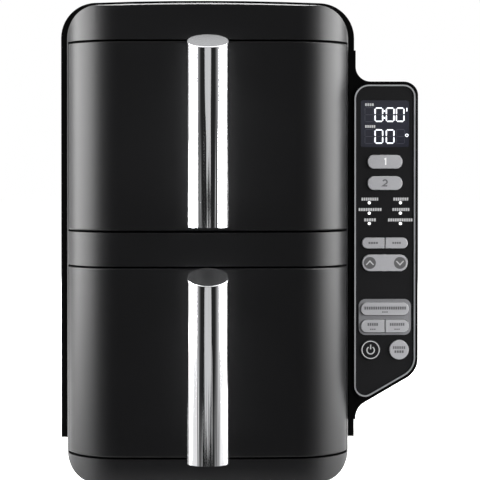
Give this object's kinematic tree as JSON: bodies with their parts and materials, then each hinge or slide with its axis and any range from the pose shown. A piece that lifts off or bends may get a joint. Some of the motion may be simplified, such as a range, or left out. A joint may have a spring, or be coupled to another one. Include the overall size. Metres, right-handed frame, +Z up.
{
  "type": "two-drawer air fryer",
  "caption": "Upright kitchen air fryer with stacked pull-out drawers, tall round handles and a control wing on the right-hand side.",
  "frame": {"origin": "on the floor under the middle of the whole part's box, feet standing on z = 0", "axes": "+Z up, +Y from the drawer fronts to the back, +X towards the control wing"},
  "size_m": [0.2894, 0.471, 0.3853],
  "materials": {
    "housing_black": "gloss black moulded plastic",
    "front_black": "satin black moulded plastic",
    "inner_black": "matt black moulded plastic",
    "handle_chrome": "polished chrome plate",
    "trim_silver": "satin silver plating",
    "panel_grey": "satin charcoal panel film",
    "key_grey": "satin light grey moulded plastic",
    "key_field_grey": "satin mid grey moulded plastic",
    "display_glass": "smoked clear window",
    "lamp_white": "white light guide",
    "pan_coating": "dark non-stick coating",
    "liner_steel": "plain coated sheet steel",
    "heater_tube": "dark heat-stained sheath",
    "fan_aluminium": "pressed aluminium",
    "shaft_steel": "ground steel",
    "dark_steel": "blackened steel",
    "motor_zinc": "zinc plated can",
    "bronze": "sintered bronze",
    "board_green": "printed circuit board",
    "rubber": "matt rubber"
  },
  "bodies": {
    "body": {"housing_shell": "housing_black", "front_frame": "front_black", "base_tray": "front_black", "rear_cover": "housing_black", "cover_screws": "dark_steel", "rubber_feet": "rubber", "upper_chamber": "liner_steel", "lower_chamber": "liner_steel", "drawer_rails": "liner_steel", "fan_guards": "liner_steel", "heating_elements": "heater_tube", "temperature_sensors": "shaft_steel", "drawer_switches": "inner_black", "motor_brackets": "liner_steel", "motor_cans": "motor_zinc", "motor_stators": "dark_steel", "motor_bearings": "bronze", "power_board": "board_green", "cord_gland": "rubber", "panel_pod": "housing_black", "panel_trim": "trim_silver", "panel_face": "panel_grey", "display_window": "display_glass", "display_module": "inner_black", "key_surround": "key_field_grey", "indicator_lights": "lamp_white", "control_board": "board_green"},
    "upper_drawer": {"upper_drawer_front": "front_black", "upper_drawer_backplate": "inner_black", "upper_drawer_pan": "pan_coating", "upper_handle_sleeve": "handle_chrome", "upper_handle_core": "inner_black", "upper_handle_screws": "dark_steel"},
    "upper_crisper": {"upper_crisper_plate": "pan_coating", "upper_crisper_feet": "rubber"},
    "upper_fan": {"upper_motor_shaft": "shaft_steel", "upper_fan_impeller": "fan_aluminium", "upper_cooling_fan": "inner_black"},
    "lower_drawer": {"lower_drawer_front": "front_black", "lower_drawer_backplate": "inner_black", "lower_drawer_pan": "pan_coating", "lower_handle_sleeve": "handle_chrome", "lower_handle_core": "inner_black", "lower_handle_screws": "dark_steel"},
    "lower_crisper": {"lower_crisper_plate": "pan_coating", "lower_crisper_feet": "rubber"},
    "lower_fan": {"lower_motor_shaft": "shaft_steel", "lower_fan_impeller": "fan_aluminium", "lower_cooling_fan": "inner_black"},
    "zone_1_button": {"zone_1_key": "key_grey"},
    "zone_2_button": {"zone_2_key": "key_grey"},
    "temperature_button": {"temperature_key": "key_grey"},
    "time_button": {"time_key": "key_grey"},
    "whole_oven_button": {"whole_oven_key": "key_grey"},
    "sync_button": {"sync_key": "key_grey"},
    "match_button": {"match_key": "key_grey"},
    "power_button": {"power_key": "panel_grey"},
    "start_button": {"start_key": "key_grey"},
    "arrow_button": {"arrow_rocker": "key_grey"}
  },
  "joints": [
    {"name": "upper_drawer_slide", "type": "slide", "parent": "body", "child": "upper_drawer", "axis": [0, -1, 0], "range_m": [0, 0.24]},
    {"name": "upper_crisper_lift", "type": "slide", "parent": "upper_drawer", "child": "upper_crisper", "axis": [0, 0, 1], "range_m": [0, 0.1]},
    {"name": "upper_fan_spin", "type": "hinge", "parent": "body", "child": "upper_fan", "pos_m": [-0.02542, 0.1485, 0.27435], "axis": [0, 1, 0], "continuous": true},
    {"name": "lower_drawer_slide", "type": "slide", "parent": "body", "child": "lower_drawer", "axis": [0, -1, 0], "range_m": [0, 0.24]},
    {"name": "lower_crisper_lift", "type": "slide", "parent": "lower_drawer", "child": "lower_crisper", "axis": [0, 0, 1], "range_m": [0, 0.1]},
    {"name": "lower_fan_spin", "type": "hinge", "parent": "body", "child": "lower_fan", "pos_m": [-0.02542, 0.1485, 0.09665], "axis": [0, 1, 0], "continuous": true},
    {"name": "zone_1_press", "type": "slide", "parent": "body", "child": "zone_1_button", "axis": [0, 1, 0], "range_m": [0, 0.001], "stiffness_N_per_m": 1200},
    {"name": "zone_2_press", "type": "slide", "parent": "body", "child": "zone_2_button", "axis": [0, 1, 0], "range_m": [0, 0.001], "stiffness_N_per_m": 1200},
    {"name": "temperature_press", "type": "slide", "parent": "body", "child": "temperature_button", "axis": [0, 1, 0], "range_m": [0, 0.001], "stiffness_N_per_m": 1200},
    {"name": "time_press", "type": "slide", "parent": "body", "child": "time_button", "axis": [0, 1, 0], "range_m": [0, 0.001], "stiffness_N_per_m": 1200},
    {"name": "whole_oven_press", "type": "slide", "parent": "body", "child": "whole_oven_button", "axis": [0, 1, 0], "range_m": [0, 0.001], "stiffness_N_per_m": 1200},
    {"name": "sync_press", "type": "slide", "parent": "body", "child": "sync_button", "axis": [0, 1, 0], "range_m": [0, 0.001], "stiffness_N_per_m": 1200},
    {"name": "match_press", "type": "slide", "parent": "body", "child": "match_button", "axis": [0, 1, 0], "range_m": [0, 0.001], "stiffness_N_per_m": 1200},
    {"name": "power_press", "type": "slide", "parent": "body", "child": "power_button", "axis": [0, 1, 0], "range_m": [0, 0.001], "stiffness_N_per_m": 1200},
    {"name": "start_press", "type": "slide", "parent": "body", "child": "start_button", "axis": [0, 1, 0], "range_m": [0, 0.001], "stiffness_N_per_m": 1200},
    {"name": "arrow_rock", "type": "hinge", "parent": "body", "child": "arrow_button", "pos_m": [0.11747, -0.124, 0.17265], "axis": [0, 0, 1], "range_deg": [-3, 3], "stiffness_Nm_per_rad": 0.2}
  ]
}
